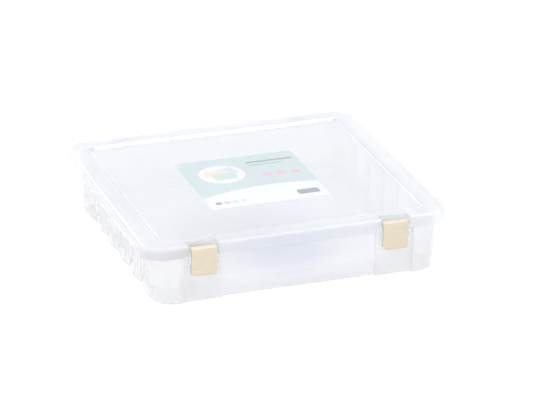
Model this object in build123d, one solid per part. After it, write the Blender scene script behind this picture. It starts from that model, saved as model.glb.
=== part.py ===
from build123d import *
from math import isclose, sqrt
import os

# Paper storage case, in millimetres.
# Origin: centre of the closed case's footprint, on the surface it stands on.
# X to the right, -Y towards the front wall with the latches, +Z up.

# Overall case, closed
case_width = 357.0
case_depth = 339.0
case_height = 70.5

# Tray: one moulding with fluted side walls, set in from the lid's edge by these gaps
tray_side_gap = 12.0
tray_front_gap = 3.3
tray_back_gap = 15.7
tray_wall = 2.2
tray_floor = 2.2
tray_draft = 1.3
tray_corner_radius = 25.0
flute_end = 46.875
flute_count = 4
flute_bulge = 3.8
bay_from_side = 34.0
bay_width = 42.5
bay_step = 3.0
bay_corner_radius = 1.2
base_line_height = 20.0
base_line_step = 0.5
bottom_edge_radius = 2.0
floor_corner_radius = 5.0

# Foot ring under the floor, which nests in the lid's recess when cases are stacked
foot_height = 1.0
foot_width = 3.0
foot_clearance = 1.0

# Lid
lid_wall = 2.0
skirt_height = 13.0
skirt_flare = 1.0
lid_corner_radius = 25.5
lid_edge_radius = 3.5
lid_border = 23.0
panel_recess = 2.0
panel_slope = 4.5
panel_corner_radius = 14.0
panel_edge_radius = 4.0
locating_rib_height = 3.5
locating_rib_thickness = 1.6
locating_rib_clearance = 1.0
locating_rib_back_clearance = 2.5

# Latch pockets in the lid's front edge
notch_width = 34.0
notch_depth = 15.5
notch_wall = 1.8
notch_bar_diameter = 3.6
notch_bar_behind_bay = 1.2
rim_dip_clearance = 1.5
rim_dip_drop = 11.5
rim_dip_radius = 3.0

# Latches
latch_width = 29.0
latch_drop = 4.5
latch_length = 32.0
latch_plate = 2.4
latch_barrel_radius = 3.7
latch_head_below_bar = 2.6
latch_bore_clearance = 0.08
latch_slot_width = 3.0
latch_slot_angle = 45.0
latch_front_inset = 0.5
latch_lip_reach = 3.0
latch_lip_thickness = 2.0
latch_lip_height = 12.2
latch_corner_radius = 4.5
latch_edge_radius = 1.4
grip_rib_count = 7
grip_rib_pitch = 3.6
grip_rib_radius = 0.9
grip_rib_stand = 0.5
grip_rib_margin = 1.4
grip_first_drop = 4.6
finger_lip_height = 1.2

# Catch on the tray's bay, which the latch's lip closes under
catch_gap = 0.8
catch_front_gap = 0.2
catch_shelf = 2.0
catch_height = 10.0
cheek_gap = 1.0
cheek_wall = 2.0
cheek_stand = 1.6
cheek_radius = 3.0

# Back hinge: bars on the tray, open clips on the lid
hinge_from_side = 56.5
hinge_behind_wall = 7.2
hinge_below_rim = 6.5
hinge_bar_diameter = 4.0
hinge_bore_clearance = 0.08
ear_radius = 4.0
ear_wall = 3.0
clip_length = 22.0
clip_radius = 3.8
clip_slot_width = 3.2
clip_side_gap = 2.0
clip_stem = 5.0

# Printed card under the lid's panel
card_width = 142.0
card_depth = 143.0
card_thickness = 0.4

# How far a cut runs past the face it opens, and where a rounded edge has its middle
cut_margin = 1.0
round_middle = 1 - sqrt(0.5)

# Places worked out from the sizes above
skirt_bottom = case_height - skirt_height
lid_under = case_height - lid_wall
rim_height = lid_under
tray_front = -case_depth / 2 + tray_front_gap
tray_back = case_depth / 2 - tray_back_gap
tray_width = case_width - 2 * tray_side_gap
tray_depth = tray_back - tray_front
tray_centre_y = (tray_front + tray_back) / 2
flute_pitch = (tray_depth - 2 * flute_end) / (flute_count + 1)
bay_centre = tray_width / 2 - bay_from_side - bay_width / 2
flute_radius = ((flute_pitch / 2) ** 2 + flute_bulge ** 2) / (2 * flute_bulge)
bay_face = tray_front + bay_step
notch_back = -case_depth / 2 + notch_depth
latch_face = -case_depth / 2 + latch_front_inset
latch_top = case_height - latch_drop
latch_bottom = latch_top - latch_length
pivot_y = bay_face + notch_bar_behind_bay
pivot_z = latch_top - latch_barrel_radius
lip_top = latch_bottom + latch_lip_height
catch_bottom = lip_top + catch_gap
hinge_y = tray_back + hinge_behind_wall
hinge_z = rim_height - hinge_below_rim
bay_centres = (-bay_centre, bay_centre)
hinge_centre = tray_width / 2 - hinge_from_side
hinge_centres = (-hinge_centre, hinge_centre)
panel_half_x = case_width / 2 - lid_border
panel_half_y = case_depth / 2 - lid_border


def block(x0, x1, y0, y1, z0, z1):
    """A box between two corners."""
    size = (x1 - x0, y1 - y0, z1 - z0)
    return Pos((x0 + x1) / 2, (y0 + y1) / 2, (z0 + z1) / 2) * Box(*size)


def rounded_plan(width, depth, radius, z, y=0.0):
    """A rounded rectangle in plan."""
    return Pos(0, y, z) * RectangleRounded(width, depth, radius)


def tray_plan(z, draft, wall=0.0, soft=0.0):
    """The tray's plan at a height.

    Draft moves the walls in, wall gives their inner face, and soft rounds that into the floor.
    The bays' corners are rounded on the outside only.
    """
    inset = wall + soft
    half_x = tray_width / 2 - draft - inset
    front = -tray_depth / 2 + draft + inset
    back = tray_depth / 2 - draft - inset
    bay = front + bay_step
    middle = bay + bay_step
    bay_outer = bay_centre + bay_width / 2 + wall
    bay_inner = bay_centre - bay_width / 2 + wall
    corner = tray_corner_radius - inset
    radius = flute_radius - inset
    centre_x = tray_width / 2 - draft - flute_radius
    cusp_x = centre_x + sqrt(radius ** 2 - (flute_pitch / 2) ** 2)
    crest_x = centre_x + radius
    first_cusp = -flute_count / 2 * flute_pitch

    right = [
        Line((0, middle), (bay_inner, middle)),
        Line((bay_inner, middle), (bay_inner, bay)),
        Line((bay_inner, bay), (bay_outer, bay)),
        Line((bay_outer, bay), (bay_outer, front)),
        Line((bay_outer, front), (half_x - corner, front)),
        RadiusArc((half_x - corner, front), (half_x, front + corner), -corner),
        Line((half_x, front + corner), (half_x, first_cusp - flute_pitch / 2)),
        RadiusArc((half_x, first_cusp - flute_pitch / 2), (cusp_x, first_cusp), -radius),
    ]
    for number in range(flute_count):
        start = first_cusp + number * flute_pitch
        crest = (crest_x, start + flute_pitch / 2)
        right.append(ThreePointArc((cusp_x, start), crest, (cusp_x, start + flute_pitch)))
    right += [
        RadiusArc((cusp_x, -first_cusp), (half_x, flute_pitch / 2 - first_cusp), -radius),
        Line((half_x, flute_pitch / 2 - first_cusp), (half_x, back - corner)),
        RadiusArc((half_x, back - corner), (half_x - corner, back), -corner),
        Line((half_x - corner, back), (0, back)),
    ]
    left = [edge.mirror(Plane.YZ) for edge in right]
    face = make_face(right + left)
    if not wall:
        bay_sides = (bay_inner, bay_outer)
        bay_corners = [corner for corner in face.vertices()
                       if corner.Y < 0 and any(isclose(abs(corner.X), side) for side in bay_sides)]
        face = fillet(bay_corners, bay_corner_radius)
    return Pos(0, tray_centre_y, z) * face


def wall_draft(z):
    """How far the tray's walls have drawn in at a height."""
    return tray_draft * (rim_height - z) / (rim_height - foot_height)


def tray_shell():
    """The fluted tray: an outer loft less an inner one."""
    floor_under = foot_height
    line = base_line_height
    step = base_line_step
    edge = bottom_edge_radius
    edge_middle = round_middle * edge
    outer = loft([
        tray_plan(floor_under, wall_draft(floor_under) + step + edge),
        tray_plan(floor_under + edge_middle, wall_draft(floor_under) + step + edge_middle),
        tray_plan(floor_under + edge, wall_draft(floor_under + edge) + step),
        tray_plan(line, wall_draft(line) + step),
        tray_plan(line + step, wall_draft(line + step)),
        tray_plan(rim_height, 0),
    ], ruled=True)
    floor_top = floor_under + tray_floor
    soft = floor_corner_radius
    soft_middle = round_middle * soft
    inner = loft([
        tray_plan(floor_top, wall_draft(floor_top) + step, tray_wall, soft),
        tray_plan(floor_top + soft_middle, wall_draft(floor_top) + step, tray_wall, soft_middle),
        tray_plan(floor_top + soft, wall_draft(floor_top + soft) + step, tray_wall),
        tray_plan(line, wall_draft(line) + step, tray_wall),
        tray_plan(line + step, wall_draft(line + step), tray_wall),
        tray_plan(rim_height + cut_margin, 0, tray_wall),
    ], ruled=True)
    return outer - inner


def foot_ring():
    """The ring the case stands on, inside the outline of the lid's recess."""
    width = 2 * (panel_half_x - panel_slope - foot_clearance)
    depth = 2 * (panel_half_y - panel_slope - foot_clearance)
    radius = panel_corner_radius - panel_slope
    ring = RectangleRounded(width, depth, radius)
    ring -= RectangleRounded(width - 2 * foot_width, depth - 2 * foot_width, radius - foot_width)
    return extrude(ring, foot_height + tray_floor / 2)


def rim_dip(centre):
    """The low stretch of rim that the latch's head and the lid's notch pass over."""
    half = notch_width / 2 + notch_wall + rim_dip_clearance
    cutter = block(centre - half, centre + half, tray_front - cut_margin, notch_back + notch_wall,
                   rim_height - rim_dip_drop, rim_height + cut_margin)
    lower = cutter.edges().filter_by(Axis.Y).group_by(Axis.Z)[0]
    return fillet(lower, rim_dip_radius)


def catch(centre):
    """Two cheeks beside the latch and the shelf between them that its lip closes under."""
    back = bay_face + wall_draft(catch_bottom) + tray_wall / 2
    top = catch_bottom + catch_height
    half = latch_width / 2 + cheek_gap
    shelf_front = latch_face + latch_plate + catch_front_gap
    result = block(centre - half - cheek_wall, centre + half + cheek_wall, shelf_front, back,
                   catch_bottom, catch_bottom + catch_shelf)
    cheek_front = shelf_front - cheek_stand
    for side in (-1, 1):
        inner = centre + side * half
        outer = inner + side * cheek_wall
        cheek = block(min(inner, outer), max(inner, outer), cheek_front, back, catch_bottom, top)
        front_edge = cheek.edges().filter_by(Axis.X).group_by(Axis.Y)[0]
        cheek = fillet(front_edge.sort_by(Axis.Z)[0], cheek_radius)
        result += cheek
    return result


def hinge_bar(centre):
    """A bar between two ears that stand out from the tray's back wall."""
    result = Pos(centre, hinge_y, hinge_z) * Rot(0, 90, 0) * Cylinder(
        hinge_bar_diameter / 2, clip_length + 2 * clip_side_gap + ear_wall)
    wall_inside = tray_back - wall_draft(hinge_z) - tray_wall / 2
    for side in (-1, 1):
        ear_x = centre + side * (clip_length / 2 + clip_side_gap + ear_wall / 2)
        ear = Pos(ear_x, hinge_y, hinge_z) * Rot(0, 90, 0) * Cylinder(ear_radius, ear_wall)
        ear += block(ear_x - ear_wall / 2, ear_x + ear_wall / 2, wall_inside, hinge_y,
                     hinge_z - ear_radius, hinge_z + ear_radius)
        result += ear
    return result


def make_tray():
    tray = tray_shell()
    tray += foot_ring()
    for centre in bay_centres:
        tray -= rim_dip(centre)
        tray += catch(centre)
    for centre in hinge_centres:
        tray += hinge_bar(centre)
    return tray


def lid_outer():
    """The lid's outside, flared to the skirt and rounded along the top edge."""
    top = rounded_plan(case_width - 2 * skirt_flare, case_depth - 2 * skirt_flare,
                       lid_corner_radius - skirt_flare, case_height)
    bottom = rounded_plan(case_width, case_depth, lid_corner_radius, skirt_bottom)
    body = loft([bottom, top], ruled=True)
    body = fillet(body.edges().group_by(Axis.Z)[-1], lid_edge_radius)
    recess = loft([
        rounded_plan(2 * panel_half_x, 2 * panel_half_y, panel_corner_radius, case_height),
        rounded_plan(2 * (panel_half_x - panel_slope), 2 * (panel_half_y - panel_slope),
                     panel_corner_radius - panel_slope, case_height - panel_recess),
    ], ruled=True)
    body -= recess
    panel, band = body.faces().filter_by(Axis.Z).sort_by(Axis.Z)[-2:]
    slope_edges = band.inner_wires()[0].edges() + panel.outer_wire().edges()
    return fillet(slope_edges, panel_edge_radius)


def lid_inner():
    """The space inside the skirt, less the panel's plate where it drops below the band."""
    wall = 2 * lid_wall
    space = loft([
        rounded_plan(case_width - wall, case_depth - wall, lid_corner_radius - lid_wall,
                     skirt_bottom),
        rounded_plan(case_width - wall - 2 * skirt_flare, case_depth - wall - 2 * skirt_flare,
                     lid_corner_radius - lid_wall - skirt_flare, lid_under),
    ], ruled=True)
    plate = loft([
        rounded_plan(2 * panel_half_x + lid_wall, 2 * panel_half_y + lid_wall,
                     panel_corner_radius + lid_wall / 2, lid_under),
        rounded_plan(2 * (panel_half_x - panel_slope) + lid_wall,
                     2 * (panel_half_y - panel_slope) + lid_wall,
                     panel_corner_radius - panel_slope + lid_wall / 2, lid_under - panel_recess),
    ], ruled=True)
    return space - plate


def locating_rib():
    """The low rib inside the tray's rim that keeps the lid square on it."""
    side = tray_width / 2 - flute_bulge - tray_wall - locating_rib_clearance
    front = tray_front + 2 * bay_step + tray_wall + locating_rib_clearance
    back = tray_back - tray_wall - locating_rib_back_clearance
    width = 2 * side
    depth = back - front
    middle = (front + back) / 2
    radius = tray_corner_radius - tray_wall - locating_rib_clearance
    thick = locating_rib_thickness
    ring = RectangleRounded(width, depth, radius)
    ring -= RectangleRounded(width - 2 * thick, depth - 2 * thick, radius - thick)
    bottom = lid_under - locating_rib_height
    return Pos(0, middle, bottom) * extrude(ring, lid_under - bottom)


def notch_walls(centre):
    """Side and back walls of a latch pocket, as a solid block to be cut open."""
    half = notch_width / 2 + notch_wall
    return block(centre - half, centre + half, -case_depth / 2, notch_back + notch_wall,
                 skirt_bottom, lid_under)


def notch_space(centre):
    """The open pocket itself, through the top of the lid and out at the front."""
    half = notch_width / 2
    return block(centre - half, centre + half, -case_depth / 2 - cut_margin, notch_back,
                 skirt_bottom - cut_margin, case_height + cut_margin)


def latch_bar(centre):
    """The bar across a pocket that a latch turns on."""
    return Pos(centre, pivot_y, pivot_z) * Rot(0, 90, 0) * Cylinder(
        notch_bar_diameter / 2, notch_width + notch_wall)


def hinge_clip(centre):
    """An open ring that snaps down over the tray's hinge bar."""
    ring = Pos(centre, hinge_y, hinge_z) * Rot(0, 90, 0) * Cylinder(clip_radius, clip_length)
    half = clip_length / 2
    ring += block(centre - half, centre + half, hinge_y - clip_stem / 2, hinge_y + clip_stem / 2,
                  hinge_z, lid_under)
    bore = hinge_bar_diameter / 2 + hinge_bore_clearance
    past = half + cut_margin
    ring -= Pos(centre, hinge_y, hinge_z) * Rot(0, 90, 0) * Cylinder(bore, 2 * past)
    ring -= block(centre - past, centre + past, hinge_y - clip_slot_width / 2,
                  hinge_y + clip_slot_width / 2, hinge_z - clip_radius - cut_margin, hinge_z)
    return ring


def make_lid():
    outer = lid_outer()
    lid = outer - lid_inner()
    lid += locating_rib()
    for centre in bay_centres:
        lid += notch_walls(centre) & outer
        lid -= notch_space(centre)
        lid += latch_bar(centre)
    for centre in hinge_centres:
        lid += hinge_clip(centre)
    return lid


def latch_profile():
    """The latch's side view: plate, head over the bar, and lip."""
    plate_back = latch_face + latch_plate
    head_bottom = pivot_z - latch_head_below_bar
    lip_back = plate_back + latch_lip_reach

    def rect(y0, y1, z0, z1):
        return Pos((y0 + y1) / 2, (z0 + z1) / 2) * Rectangle(y1 - y0, z1 - z0)

    side = rect(latch_face, plate_back, latch_bottom, latch_top)
    side += rect(latch_face, pivot_y, head_bottom, latch_top)
    side += Pos(pivot_y, pivot_z) * Circle(latch_barrel_radius)
    side += rect(latch_face, lip_back, lip_top - latch_lip_thickness, lip_top)
    return side


def make_latch(centre):
    """A moulded latch: it turns on the lid's bar and its lip closes under the catch."""
    across = Plane(origin=(centre - latch_width / 2, 0, 0), x_dir=(0, 1, 0), z_dir=(1, 0, 0))
    latch = extrude(across * latch_profile(), latch_width)
    front_top = latch.edges().filter_by(Axis.X).sort_by(Axis.Y)[:2].sort_by(Axis.Z)[-1]
    latch = fillet(front_top, latch_edge_radius)

    # Side gussets below the lip
    plate_back = latch_face + latch_plate
    for side in (-1, 1):
        outer = centre + side * latch_width / 2
        inner = outer - side * latch_plate
        latch += block(min(inner, outer), max(inner, outer), latch_face,
                       plate_back + latch_lip_reach, latch_bottom, lip_top)

    # Rounded grip ribs across the front face
    rib_length = latch_width - 2 * grip_rib_margin
    for number in range(grip_rib_count):
        height = latch_top - grip_first_drop - number * grip_rib_pitch
        depth = latch_face + grip_rib_radius - grip_rib_stand
        latch += Pos(centre, depth, height) * Rot(0, 90, 0) * Cylinder(grip_rib_radius, rib_length)

    # Bore for the bar, and the slot it snaps in through, towards the back and down
    bore = notch_bar_diameter / 2 + latch_bore_clearance
    past = latch_width + 2 * cut_margin
    latch -= Pos(centre, pivot_y, pivot_z) * Rot(0, 90, 0) * Cylinder(bore, past)
    slot_length = latch_barrel_radius + cut_margin
    slot = Pos(0, 0, -slot_length / 2) * Box(past, latch_slot_width, slot_length)
    latch -= Pos(centre, pivot_y, pivot_z) * Rot(latch_slot_angle, 0, 0) * slot

    # Finger lip along the bottom edge, and rounded bottom corners
    lip = block(centre - latch_width / 2, centre + latch_width / 2, latch_face - grip_rib_stand,
                latch_face + latch_plate / 2, latch_bottom, latch_bottom + finger_lip_height)
    latch += lip
    outline = RectangleRounded(latch_width, 2 * latch_length, latch_corner_radius)
    keep = extrude(Plane.XZ * outline, latch_length, both=True)
    latch &= Pos(centre, latch_face, latch_bottom + latch_length) * keep
    return latch


def make_card():
    """The printed card, held flat against the underside of the lid's panel."""
    top = lid_under - panel_recess
    return Pos(0, 0, top - card_thickness / 2) * Box(card_width, card_depth, card_thickness)


def export(node, shape):
    shape.label = node
    export_step(shape, f"parts/{node}.step")


def main():
    os.makedirs("parts", exist_ok=True)
    export("base_tray", make_tray())
    export("lid", make_lid())
    export("latch_left", make_latch(bay_centres[0]))
    export("latch_right", make_latch(bay_centres[1]))
    export("label_card", make_card())


main()
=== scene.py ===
import math

import bmesh
import bpy
from mathutils import Matrix, Vector


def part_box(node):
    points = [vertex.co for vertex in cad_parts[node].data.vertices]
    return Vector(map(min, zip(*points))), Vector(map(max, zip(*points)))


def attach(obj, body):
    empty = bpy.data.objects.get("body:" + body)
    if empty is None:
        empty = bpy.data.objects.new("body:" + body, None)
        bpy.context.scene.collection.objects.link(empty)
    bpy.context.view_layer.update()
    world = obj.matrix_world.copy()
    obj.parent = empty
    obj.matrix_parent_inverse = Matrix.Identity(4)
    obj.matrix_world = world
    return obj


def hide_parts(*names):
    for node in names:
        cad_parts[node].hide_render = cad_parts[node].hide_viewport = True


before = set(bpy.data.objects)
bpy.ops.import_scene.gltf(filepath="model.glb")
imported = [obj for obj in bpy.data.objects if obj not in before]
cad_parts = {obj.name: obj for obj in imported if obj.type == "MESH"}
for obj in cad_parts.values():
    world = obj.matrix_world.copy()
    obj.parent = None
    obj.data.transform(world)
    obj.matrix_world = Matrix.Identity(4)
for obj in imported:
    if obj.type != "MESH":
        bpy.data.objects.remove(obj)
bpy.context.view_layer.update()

# The base tray: one injection moulding in natural polypropylene, 2.2 mm thick. Its side
# walls are fluted, the front has a bay for each latch, and two bars at the back carry the
# lid's clips. The mould is polished, so the skin is glossy over a milky body.
MM = 0.001


def linear(hex_colour):
    """The linear colour, with alpha, of an sRGB hex value."""
    parts = [int(hex_colour[i:i + 2], 16) / 255 for i in (1, 3, 5)]
    return [c / 12.92 if c <= 0.04045 else ((c + 0.055) / 1.055) ** 2.4 for c in parts] + [1.0]


def add_node(tree, kind, inputs, **settings):
    """Adds a shader node, or takes one that is there, with its settings, values and links."""
    node = tree.nodes.new("ShaderNode" + kind) if isinstance(kind, str) else kind
    for name, value in settings.items():
        setattr(node, name, value)
    for name, value in inputs.items():
        if isinstance(value, bpy.types.NodeSocket):
            tree.links.new(value, node.inputs[name])
        else:
            node.inputs[name].default_value = value
    return node


def new_material(name):
    """A new material, its node tree and its Principled shader."""
    material = bpy.data.materials.new(name)
    material.use_nodes = True
    return material, material.node_tree, material.node_tree.nodes["Principled BSDF"]


def add_painted_light(tree, place, colour, painted_light_patches):
    """Lays soft tinted places over a colour, which paint light on it: each has its tint, centre
    and half sizes in mm.
    """
    faint_at, full_at = 1.0, 0.3
    for tint, centre, reach in painted_light_patches:
        away = add_node(tree, "VectorMath", {
            0: place, 1: tuple(c * MM for c in centre)}, operation="SUBTRACT")
        share = add_node(tree, "VectorMath", {
            0: away.outputs[0], 1: tuple(r * MM for r in reach)}, operation="DIVIDE")
        distance = add_node(tree, "VectorMath", {0: share.outputs[0]}, operation="LENGTH")
        cover = add_node(tree, "MapRange", {
            "Value": distance.outputs["Value"], "From Min": faint_at, "From Max": full_at},
            interpolation_type="SMOOTHSTEP")
        tinted = add_node(tree, "Mix", {
            "Factor": cover.outputs["Result"], "A": colour, "B": linear(tint)}, data_type="RGBA")
        colour = tinted.outputs["Result"]
    return colour


def clearer_middle(tree, place, window, border_clear):
    """The clear part of a moulding with a clearer oblong in the middle of its plan."""
    half_width, half_depth, window_clear = window
    blend = 2 * MM
    folded = add_node(tree, "VectorMath", {0: place}, operation="ABSOLUTE")
    beyond = add_node(tree, "VectorMath", {
        0: folded.outputs[0], 1: (half_width, half_depth, 0.0)}, operation="SUBTRACT")
    sides = add_node(tree, "SeparateXYZ", {"Vector": beyond.outputs[0]})
    outside = add_node(tree, "Math", {
        0: sides.outputs["X"], 1: sides.outputs["Y"]}, operation="MAXIMUM")
    clear = add_node(tree, "MapRange", {
        "Value": outside.outputs[0], "From Min": -blend, "From Max": blend,
        "To Min": window_clear, "To Max": border_clear})
    return clear.outputs["Result"]


def natural_polypropylene(name, body, shade, painted_light_patches, clear, window=None):
    """Clear moulded polypropylene: milky, with flow clouds, under a glossy skin.

    Half of the light goes straight through each skin. Of the rest, clear is the part that
    passes a little blurred, and what is left over is the milk. The tinted patches are soft
    places that paint light onto the body: a bluish painted reflection, or painted shade on the
    skirt. window is the half width, the half depth and the clear part of a clearer middle.
    A thin wall hardly bends what shows through it, so the body's IOR is near 1, and the gloss
    on it has the plastic's own.
    """
    flow_length = 70 * MM
    least_haze, most_haze = 0.10, 0.15
    material, tree, shader = new_material(name)
    place = add_node(tree, "TexCoord", {}).outputs["Object"]
    flow = add_node(tree, "TexNoise", {
        "Vector": place, "Scale": 1 / flow_length, "Detail": 2.0, "Roughness": 0.4})
    melt = add_node(tree, "Mix", {
        "Factor": flow.outputs["Fac"], "A": linear(body), "B": linear(shade)}, data_type="RGBA")
    colour = add_painted_light(tree, place, melt.outputs["Result"], painted_light_patches)
    haze = add_node(tree, "MapRange", {
        "Value": flow.outputs["Fac"], "From Min": 0.3, "From Max": 0.7,
        "To Min": least_haze, "To Max": most_haze})
    add_node(tree, shader, {
        "Base Color": colour, "Roughness": haze.outputs["Result"], "IOR": 1.04, "Alpha": 0.5,
        "Transmission Weight": clearer_middle(tree, place, window, clear) if window else clear,
        "Coat Weight": 1.0, "Coat Roughness": 0.03, "Coat IOR": 1.49})
    return material


def make_tray():
    """The moulding as one welded skin, its rim a hair below the lid that rests on it."""
    weld, rim_gap, rim_band = 0.001 * MM, 0.3 * MM, 0.1 * MM
    crease = math.radians(20)
    rim_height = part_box("base_tray")[1].z
    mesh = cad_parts["base_tray"].data.copy()
    skin = bmesh.new()
    skin.from_mesh(mesh)
    bmesh.ops.remove_doubles(skin, verts=skin.verts, dist=weld)
    for vertex in skin.verts:
        if vertex.co.z > rim_height - rim_band:
            vertex.co.z -= rim_gap
    skin.to_mesh(mesh)
    skin.free()
    mesh.shade_smooth()
    mesh.set_sharp_from_angle(angle=crease)
    mesh.materials.clear()
    # A bluish painted reflection on the front wall between the latches, laid into the body colour.
    painted_front_reflection = ("#EDF0FB", (-8, -165, 42), (80, 45, 32))
    mesh.materials.append(natural_polypropylene(
        "clear_polypropylene_tray", body="#FCFCFE", shade="#F9F9FC",
        painted_light_patches=[painted_front_reflection], clear=0.25))
    piece = bpy.data.objects.new("tray_shell", mesh)
    bpy.context.collection.objects.link(piece)
    return piece


tray_shell = make_tray()
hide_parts("base_tray")
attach(tray_shell, "base")

# The lid: a second moulding of the same polypropylene, 2 mm thick, with a sunk panel, a
# flared skirt, a locating rib and two clips that snap over the tray's bars. It is a shade
# deeper than the tray, so its rim shows against the white room, and its panel is clearer.
lid_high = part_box("lid")[1]
panel_border = 26.5 * MM


def dress(node_name, material):
    """Gives a moulding its material, in place of the plain one that it came with."""
    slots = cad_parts[node_name].data.materials
    slots.clear()
    slots.append(material)


# Painted light laid into the lid's colour: a bluish painted reflection over the front of the
# panel, and painted shade on the front of the skirt and, warmer, at its front left corner.
painted_panel_reflection = ("#F2F5FC", (-20, -120, 68), (95, 40, 20))
painted_skirt_shade = ("#EAEDF3", (0, -168, 61), (210, 24, 10))
painted_corner_shade = ("#E2DFDF", (-160, -160, 61), (80, 45, 10))
dress("lid", natural_polypropylene(
    "clear_polypropylene_lid", body="#F5F7FA", shade="#F0F3F7",
    painted_light_patches=[painted_panel_reflection, painted_skirt_shade, painted_corner_shade], clear=0.36,
    window=(lid_high.x - panel_border, lid_high.y - panel_border, 0.60)))

# The two latches: opaque ivory polypropylene, moulded with grip ribs across the face. Each
# hangs from a bar in the lid's notch and hooks under a catch on the tray.


def ivory_polypropylene():
    """Opaque polypropylene from a spark-eroded mould: satin, with a faint grain."""
    grain_size, drift_length = 0.6 * MM, 25 * MM
    smoothest, roughest = 0.28, 0.42
    material, tree, shader = new_material("ivory_polypropylene")
    place = add_node(tree, "TexCoord", {}).outputs["Object"]
    grain = add_node(tree, "TexNoise", {"Vector": place, "Scale": 1 / grain_size, "Detail": 3.0})
    drift = add_node(tree, "TexNoise", {"Vector": place, "Scale": 1 / drift_length, "Detail": 1.0})
    colour = add_node(tree, "Mix", {
        "Factor": drift.outputs["Fac"], "A": linear("#E7DEC9"), "B": linear("#E1D7C0")},
        data_type="RGBA")
    satin = add_node(tree, "MapRange", {
        "Value": grain.outputs["Fac"], "To Min": smoothest, "To Max": roughest})
    relief = add_node(tree, "Bump", {
        "Height": grain.outputs["Fac"], "Strength": 0.08, "Distance": 0.05 * MM})
    add_node(tree, shader, {
        "Base Color": colour.outputs["Result"], "Roughness": satin.outputs["Result"],
        "Normal": relief.outputs["Normal"], "IOR": 1.49, "Subsurface Weight": 0.05,
        "Subsurface Scale": 1.5 * MM})
    return material


latch_plastic = ivory_polypropylene()
for latch in ("latch_left", "latch_right"):
    dress(latch, latch_plastic)

# The card: a loose square of coated board, 0.4 mm thick, that lies against the underside of
# the lid's panel. It is printed on its upper face in pastel colours, with a satin varnish.
card_low, card_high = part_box("label_card")
card_middle = (card_low + card_high) / 2
mint, white, rose = "#C1D7D6", "#F5F7F8", "#EFA6C0"
cream, lilac, leaf, slate = "#F5E4C4", "#CFCFEE", "#BFDDC8", "#59636A"


def print_layout():
    """The print's shapes from the lowest up: ink, centre, size, corner and turn.

    A generic design: a hill line, a disc with three sheets of paper, and small marks.
    Sizes and places are in mm from the card's middle, and turns in degrees.
    """
    hill, hill_across, hill_rim = (18, -250), 460, 2
    disc, disc_across, disc_rim = (-28, 25), 54, 2.5
    for centre, across, rim in ((hill, hill_across, hill_rim), (disc, disc_across, disc_rim)):
        for ink, size in ((rose, across + rim), (white, across)):
            yield ink, centre, (size, size), size / 2, 0
    sheet_size, sheet_corner = (28, 20), 1.0
    for ink, shift, turn in ((lilac, (5, 6), -18), (cream, (-6, 2), 12), (leaf, (2, -6), -4)):
        yield ink, (disc[0] + shift[0], disc[1] + shift[1]), sheet_size, sheet_corner, turn
    diamond_size, diamond_corner, diamond_turn, diamond_height = (11, 11), 2.5, 45, 9
    for diamond_place in (22, 39, 56):
        centre = (diamond_place, diamond_height)
        yield rose, centre, diamond_size, diamond_corner, diamond_turn
    bar_left, bar_corner = 9, 0.8
    for bar_height, bar_size in ((50, (56, 4.4)), (41, (42, 1.8))):
        yield slate, (bar_left + bar_size[0] / 2, bar_height), bar_size, bar_corner, 0
    block_centre, block_size, block_corner = (50, -52), (26, 13), 2.5
    yield slate, block_centre, block_size, block_corner, 0
    swatch_size, swatch_corner, swatch_height = (7, 7), 1.2, -56
    for ink, swatch_place in ((slate, -58), (rose, -48), (mint, -38), (lilac, -28)):
        yield ink, (swatch_place, swatch_height), swatch_size, swatch_corner, 0


def print_shape(tree, point, below, ink, centre, size, corner, turn):
    """Lays one shape, a rounded oblong or a disc, over the colour below it. Sizes in mm."""
    ink_edge, any_height = 0.25 * MM, 1.0
    moved = add_node(tree, "VectorMath", {
        0: point, 1: (centre[0] * MM, centre[1] * MM, 0.0)}, operation="SUBTRACT")
    turned = add_node(tree, "VectorRotate", {
        "Vector": moved.outputs[0], "Angle": math.radians(turn)}, rotation_type="Z_AXIS")
    folded = add_node(tree, "VectorMath", {0: turned.outputs[0]}, operation="ABSOLUTE")
    straight = ((size[0] / 2 - corner) * MM, (size[1] / 2 - corner) * MM, any_height)
    beyond = add_node(tree, "VectorMath", {
        0: folded.outputs[0], 1: straight}, operation="SUBTRACT")
    outside = add_node(tree, "VectorMath", {
        0: beyond.outputs[0], 1: (0.0, 0.0, 0.0)}, operation="MAXIMUM")
    distance = add_node(tree, "VectorMath", {0: outside.outputs[0]}, operation="LENGTH")
    cover = add_node(tree, "MapRange", {
        "Value": distance.outputs["Value"],
        "From Min": corner * MM + ink_edge, "From Max": corner * MM - ink_edge})
    laid = add_node(tree, "Mix", {
        "Factor": cover.outputs["Result"], "A": below, "B": linear(ink)}, data_type="RGBA")
    return laid.outputs["Result"]


def printed_board():
    """The coated and printed face of the board: a mint ground under a satin varnish."""
    fibre_length = 1.2 * MM
    smoothest, roughest = 0.38, 0.52
    material, tree, shader = new_material("printed_coated_board")
    place = add_node(tree, "TexCoord", {}).outputs["Object"]
    point = add_node(tree, "VectorMath", {
        0: place, 1: tuple(card_middle)}, operation="SUBTRACT").outputs[0]
    colour = linear(mint)
    for ink, centre, size, corner, turn in print_layout():
        colour = print_shape(tree, point, colour, ink, centre, size, corner, turn)
    fibre = add_node(tree, "TexNoise", {
        "Vector": place, "Scale": 1 / fibre_length, "Detail": 2.0})
    varnish = add_node(tree, "MapRange", {
        "Value": fibre.outputs["Fac"], "To Min": smoothest, "To Max": roughest})
    add_node(tree, shader, {
        "Base Color": colour, "Roughness": varnish.outputs["Result"], "IOR": 1.5})
    return material


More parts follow.
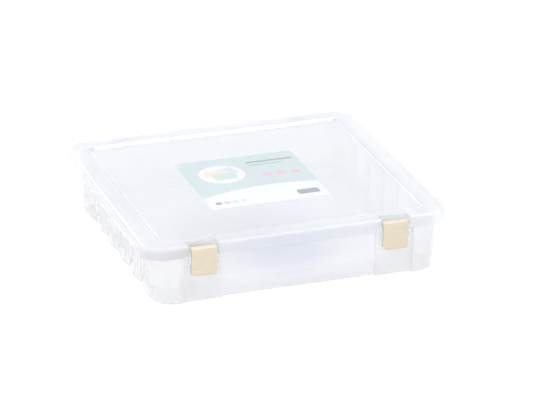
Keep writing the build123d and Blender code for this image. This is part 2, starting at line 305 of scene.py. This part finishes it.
def bare_board():
    """The uncoated back and edges of the board: white, matt, with a fine fibre."""
    fibre_length = 0.8 * MM
    material, tree, shader = new_material("bare_white_board")
    place = add_node(tree, "TexCoord", {}).outputs["Object"]
    fibre = add_node(tree, "TexNoise", {
        "Vector": place, "Scale": 1 / fibre_length, "Detail": 4.0})
    colour = add_node(tree, "Mix", {
        "Factor": fibre.outputs["Fac"], "A": linear("#F4F4F1"), "B": linear("#E9E9E5")},
        data_type="RGBA")
    add_node(tree, shader, {
        "Base Color": colour.outputs["Result"], "Roughness": 0.85, "IOR": 1.5})
    return material


def make_card():
    """A thin slab with barely rounded corners, a hair below the panel, printed on its top."""
    panel_gap, corner_radius = 0.15 * MM, 0.8 * MM
    printed, bare = 0, 1
    size = card_high - card_low
    place = Matrix.Translation(card_middle - Vector((0, 0, panel_gap)))
    card = bmesh.new()
    bmesh.ops.create_cube(card, size=1.0, matrix=place @ Matrix.Diagonal((*size, 1.0)))
    uprights = [e for e in card.edges if abs(e.verts[0].co.z - e.verts[1].co.z) > size.z / 2]
    bmesh.ops.bevel(card, geom=uprights, offset=corner_radius, offset_type="OFFSET",
                    segments=3, profile=0.5, affect="EDGES", material=-1)
    for face in card.faces:
        face.material_index = printed if face.normal.z > 0.5 else bare
    mesh = bpy.data.meshes.new("printed_card")
    card.to_mesh(mesh)
    card.free()
    mesh.materials.append(printed_board())
    mesh.materials.append(bare_board())
    piece = bpy.data.objects.new("printed_card", mesh)
    bpy.context.collection.objects.link(piece)
    return piece


printed_card = make_card()
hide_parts("label_card")
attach(printed_card, "lid")

# The floor: a plain white sweep. It shows white to the eye and in the plastic, and keeps the
# light shadow that the case throws.


def seen_directly(tree):
    """1 for rays that the eye follows, also in gloss and through plastic, 0 for soft light."""
    path = add_node(tree, "LightPath", {})
    mirrored = add_node(tree, "Math", {
        0: path.outputs["Is Camera Ray"], 1: path.outputs["Is Glossy Ray"]}, operation="MAXIMUM")
    followed = add_node(tree, "Math", {
        0: mirrored.outputs[0], 1: path.outputs["Is Transmission Ray"]}, operation="MAXIMUM")
    return followed.outputs[0]


def make_floor():
    """A level sheet under the case, a hair below its foot ring."""
    floor_size, foot_gap = 12.0, 0.3 * MM
    paper, glow_strength = 0.8, 0.3
    sweep = bmesh.new()
    bmesh.ops.create_grid(sweep, x_segments=1, y_segments=1, size=floor_size / 2,
                          matrix=Matrix.Translation((0, 0, -foot_gap)))
    mesh = bpy.data.meshes.new("floor")
    sweep.to_mesh(mesh)
    sweep.free()
    material, tree, shader = new_material("white_paper_sweep")
    glow = add_node(tree, "Math", {0: seen_directly(tree), 1: glow_strength}, operation="MULTIPLY")
    add_node(tree, shader, {
        "Base Color": (paper, paper, paper, 1.0), "Roughness": 1.0, "Specular IOR Level": 0.0,
        "Emission Color": (1.0, 1.0, 1.0, 1.0), "Emission Strength": glow.outputs[0]})
    mesh.materials.append(material)
    floor = bpy.data.objects.new("floor", mesh)
    bpy.context.collection.objects.link(floor)
    return floor


make_floor()

# The light: an even white room, with soft lamps at the upper left, behind and in front, and
# two that only glint along the lid's edges. Light crosses up to a dozen skins of clear
# plastic on its way, so it is followed deep.


def light_room():
    """The world: plain white, and paths long enough to come out of the case again."""
    soft_depth, gloss_depth, clear_depth = 32, 16, 48
    world = bpy.data.worlds.new("white_room")
    bpy.context.scene.world = world
    world.use_nodes = True
    add_node(world.node_tree, world.node_tree.nodes["Background"], {
        "Color": (1.0, 1.0, 1.0, 1.0), "Strength": 1.0})
    paths = bpy.context.scene.cycles
    paths.max_bounces = paths.diffuse_bounces = paths.transmission_bounces = soft_depth
    paths.glossy_bounces = gloss_depth
    paths.transparent_max_bounces = clear_depth


def add_lamp(name, place, size, power, soft=True, gloss=True):
    """An oblong lamp that faces the case. soft lights surfaces, gloss shows in their shine."""
    lamp = bpy.data.lights.new(name, "AREA")
    lamp.shape = "RECTANGLE"
    lamp.size, lamp.size_y = size
    lamp.energy = power
    holder = bpy.data.objects.new(name, lamp)
    bpy.context.collection.objects.link(holder)
    holder.location = place
    holder.rotation_euler = (-Vector(place)).to_track_quat("-Z", "Y").to_euler()
    holder.visible_diffuse = soft
    holder.visible_glossy = gloss


light_room()
add_lamp("left_lamp", (-1.4, -0.2, 1.7), (1.0, 1.0), 3.5)
add_lamp("back_lamp", (0.3, 1.8, 1.5), (1.8, 0.5), 2.0)
add_lamp("front_lamp", (-0.6, -2.0, 0.9), (1.6, 1.0), 5.5, gloss=False)
add_lamp("edge_lamp", (-0.35, 1.75, 0.95), (0.7, 0.3), 20.0, soft=False)
add_lamp("top_lamp", (0.54, 0.67, 1.7), (0.9, 0.4), 28.0, soft=False)

# The camera: from the front, 19 degrees to the left and 23 degrees up, through a long lens,
# so that the far edges run nearly parallel to the near ones.


def add_camera():
    """The camera, level but for a tenth of a degree."""
    place, aim = (-1.0232, -3.0286, 1.3771), Vector((0.29956, 0.87166, -0.38792))
    roll = math.radians(0.1)
    camera = bpy.data.cameras.new("camera")
    camera.lens = 204.1
    camera.sensor_width = 36
    holder = bpy.data.objects.new("camera", camera)
    bpy.context.collection.objects.link(holder)
    holder.location = place
    holder.rotation_mode = "QUATERNION"
    turn = aim.to_track_quat("-Z", "Y")
    holder.rotation_quaternion = turn @ Matrix.Rotation(roll, 3, "Z").to_quaternion()
    bpy.context.scene.camera = holder


add_camera()
bpy.context.scene.view_settings.view_transform = "Standard"
